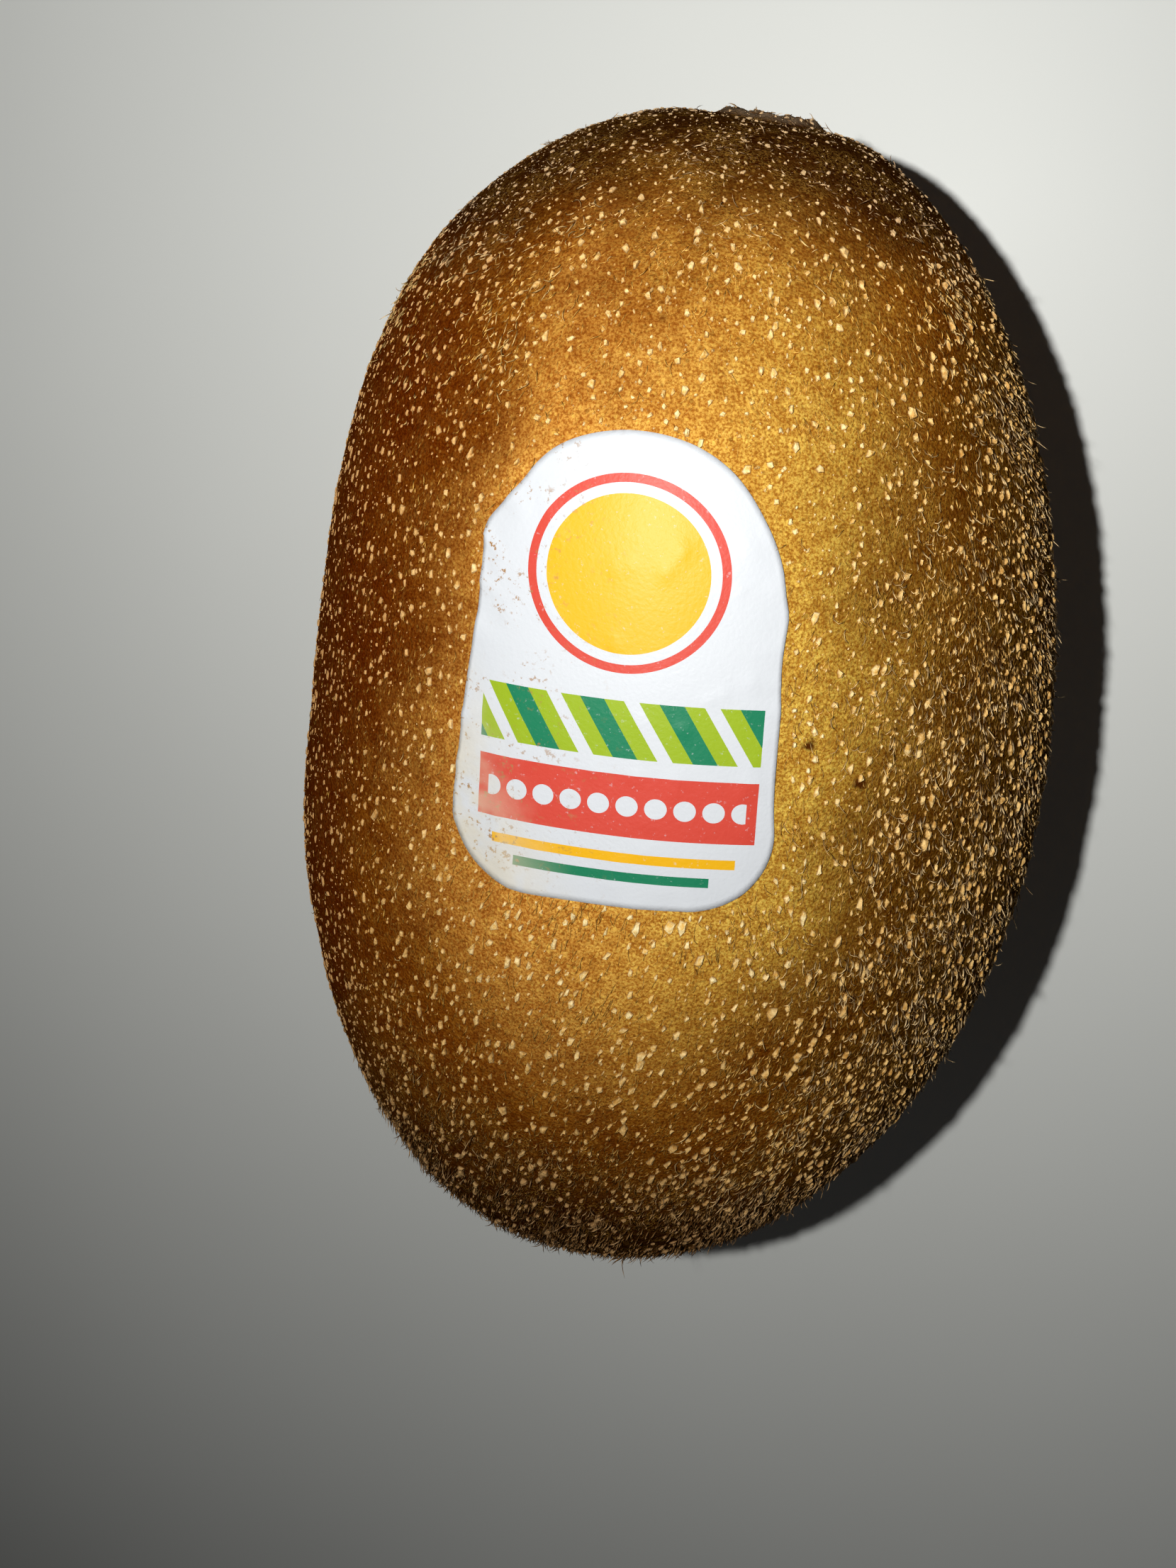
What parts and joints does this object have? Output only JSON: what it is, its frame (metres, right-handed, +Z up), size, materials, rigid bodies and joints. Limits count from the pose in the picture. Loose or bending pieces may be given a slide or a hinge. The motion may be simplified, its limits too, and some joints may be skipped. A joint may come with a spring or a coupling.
{
  "type": "golden kiwi fruit",
  "caption": "Whole golden kiwi fruit lying on its side: a blunt oval with freckled golden-brown skin, short fuzz, a stalk scar, dried flower remains and an arched paper label on top.",
  "frame": {"origin": "under the middle of the fruit's bounding box, on the surface that it lies on", "axes": "+Z up, +Y along the fruit's long axis towards the stem end, so -Y is the blossom end; +X to the right of a viewer who looks down on the label with the stem end at the top"},
  "size_m": [0.0514, 0.0824, 0.0482],
  "materials": {
    "kiwi_skin": null,
    "dried_flower": "dry, brittle, dark brown",
    "label_paper": "thin printed paper with a satin coat"
  },
  "bodies": {
    "root": {"fruit": "kiwi_skin", "dried_styles": "dried_flower", "label": "label_paper"}
  },
  "joints": []
}
